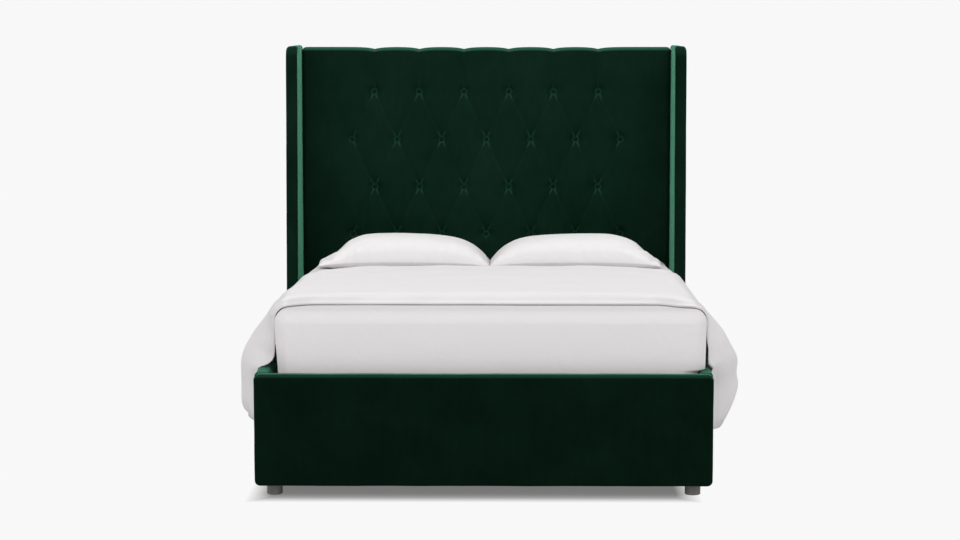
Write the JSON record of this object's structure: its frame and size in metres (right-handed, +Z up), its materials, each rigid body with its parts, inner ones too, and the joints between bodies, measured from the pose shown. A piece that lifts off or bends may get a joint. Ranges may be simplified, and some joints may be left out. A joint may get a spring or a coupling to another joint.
{
  "type": "wingback bed",
  "caption": "Wingback bed in velvet: tufted headboard between two wings, low footboard, slatted base, made up with mattress, duvet and pillows.",
  "frame": {"origin": "on the floor under the middle of the bed", "axes": "X across the bed, +Y from the foot to the head, +Z up"},
  "size_m": [1.8097, 2.19, 1.575],
  "materials": {
    "velvet": "matte",
    "back_cloth": "matte",
    "plywood": "matte",
    "timber": "matte",
    "slat_wood": "satin",
    "bracket_steel": "matte",
    "fastener_steel": "satin",
    "foot_plastic": "matte",
    "mattress_ticking": "matte",
    "sheet_cotton": "matte",
    "duvet_cotton": "matte",
    "pillow_cotton": "matte"
  },
  "bodies": {
    "frame": {"wing_cover_left": "velvet", "wing_cover_right": "velvet", "side_rail_cover_left": "velvet", "side_rail_cover_right": "velvet", "footboard_cover": "velvet", "headboard_pad": "velvet", "headboard_lower_cover": "velvet", "tuft_buttons": "velvet", "headboard_back_cover": "back_cloth", "headboard_board": "plywood", "wing_core_left": "plywood", "wing_core_right": "plywood", "footboard_core": "timber", "centre_beam": "timber", "headboard_top_rail": "timber", "headboard_middle_rail": "timber", "headboard_bottom_rail": "timber", "side_rail_core_left": "timber", "side_rail_core_right": "timber", "slat_cleat_left": "timber", "slat_cleat_right": "timber", "headboard_post_left": "timber", "headboard_post_right": "timber", "beam_leg_foot": "timber", "beam_leg_head": "timber", "slat_01": "slat_wood", "slat_02": "slat_wood", "slat_03": "slat_wood", "slat_04": "slat_wood", "slat_05": "slat_wood", "slat_06": "slat_wood", "slat_07": "slat_wood", "slat_08": "slat_wood", "slat_09": "slat_wood", "slat_10": "slat_wood", "slat_11": "slat_wood", "corner_bracket_foot_left": "bracket_steel", "corner_bracket_foot_right": "bracket_steel", "corner_bracket_head_left": "bracket_steel", "corner_bracket_head_right": "bracket_steel", "beam_hanger_foot": "bracket_steel", "beam_hanger_head": "bracket_steel", "bracket_screws": "fastener_steel", "slat_screws": "fastener_steel", "wing_bolts": "fastener_steel", "foot_nuts": "fastener_steel", "foot_front_left": "foot_plastic", "foot_front_right": "foot_plastic", "foot_rear_left": "foot_plastic", "foot_rear_right": "foot_plastic"},
    "levelling_screw_foot": {"leveller_foot": "fastener_steel"},
    "levelling_screw_head": {"leveller_head": "fastener_steel"},
    "mattress": {"mattress": "mattress_ticking", "fitted_sheet": "sheet_cotton"},
    "duvet": {"duvet": "duvet_cotton"},
    "pillow_left": {"pillow_left": "pillow_cotton"},
    "pillow_right": {"pillow_right": "pillow_cotton"}
  },
  "joints": [
    {"name": "levelling_screw_foot_travel", "type": "slide", "parent": "frame", "child": "levelling_screw_foot", "axis": [0, 0, 1], "range_m": [0, 0.012]},
    {"name": "levelling_screw_head_travel", "type": "slide", "parent": "frame", "child": "levelling_screw_head", "axis": [0, 0, 1], "range_m": [0, 0.012]},
    {"name": "mattress_lift", "type": "slide", "parent": "frame", "child": "mattress", "axis": [0, 0, 1], "range_m": [0, 0.4]},
    {"name": "duvet_lift", "type": "slide", "parent": "mattress", "child": "duvet", "axis": [0, 0, 1], "range_m": [0, 0.5]},
    {"name": "pillow_left_lift", "type": "slide", "parent": "mattress", "child": "pillow_left", "axis": [0, 0, 1], "range_m": [0, 0.3]},
    {"name": "pillow_right_lift", "type": "slide", "parent": "mattress", "child": "pillow_right", "axis": [0, 0, 1], "range_m": [0, 0.3]}
  ]
}
